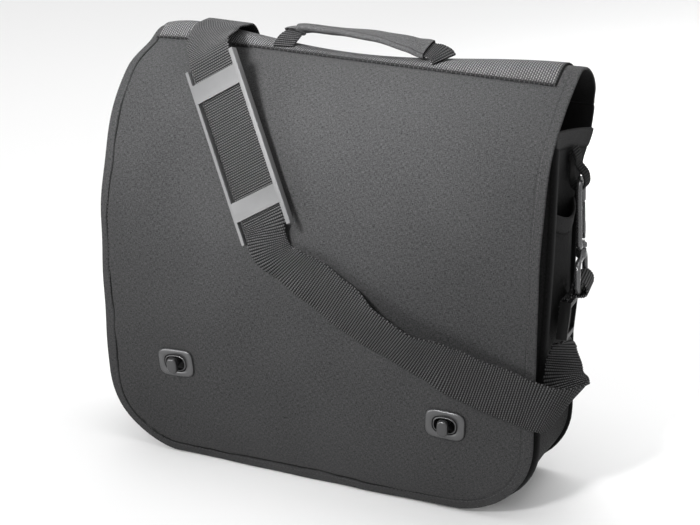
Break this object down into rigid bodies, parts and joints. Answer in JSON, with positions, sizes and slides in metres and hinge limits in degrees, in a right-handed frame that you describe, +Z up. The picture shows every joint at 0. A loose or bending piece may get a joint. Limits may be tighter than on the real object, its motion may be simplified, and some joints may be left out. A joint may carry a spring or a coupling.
{
  "type": "hairdresser tool bag",
  "caption": "Charcoal cloth messenger bag with a full front flap, turn locks, a webbing-backed top with a carrying handle, side pockets and a wide shoulder strap.",
  "frame": {"origin": "on the floor under the middle of the bag's bottom", "axes": "+X to the right seen from the front, +Y to the back, +Z up"},
  "size_m": [0.4156, 0.1508, 0.3488],
  "materials": {
    "cloth": "woven polyester, matt charcoal",
    "webbing": "ribbed polyester webbing, charcoal",
    "plastic": "satin grey plastic",
    "metal": "dark gunmetal"
  },
  "bodies": {
    "bag": {"flap": "cloth", "front_panel": "cloth", "back_panel": "cloth", "gusset": "cloth", "side_pocket_right": "cloth", "side_pocket_left": "cloth", "handle_grip": "cloth", "top_band": "webbing", "handle_web": "webbing", "strap": "webbing", "tab_right": "webbing", "tab_left": "webbing", "strap_frame": "plastic", "strap_slider": "plastic", "lock_left_plate": "metal", "lock_left_post": "metal", "lock_right_plate": "metal", "lock_right_post": "metal", "hook_right_body": "metal", "hook_right_eye": "metal", "hook_left": "metal"},
    "lock_left_turn": {"lock_left_knob": "metal"},
    "lock_right_turn": {"lock_right_knob": "metal"},
    "hook_gate": {"hook_right_gate": "metal"}
  },
  "joints": [
    {"name": "lock_left_turn", "type": "hinge", "parent": "bag", "child": "lock_left_turn", "pos_m": [-0.11501, -0.06628, 0.08394], "axis": [-0.007, -0.9982, -0.059], "range_deg": [0, 90]},
    {"name": "lock_right_turn", "type": "hinge", "parent": "bag", "child": "lock_right_turn", "pos_m": [0.11305, -0.06004, 0.07494], "axis": [0.054, -0.997, -0.055], "range_deg": [0, 90]},
    {"name": "hook_gate", "type": "hinge", "parent": "bag", "child": "hook_gate", "pos_m": [0.1859, 0.02439, 0.20805], "axis": [0.9785, 0.1959, 0.064], "range_deg": [0, 25], "stiffness_Nm_per_rad": 0.02, "springref_deg": -17.19}
  ]
}
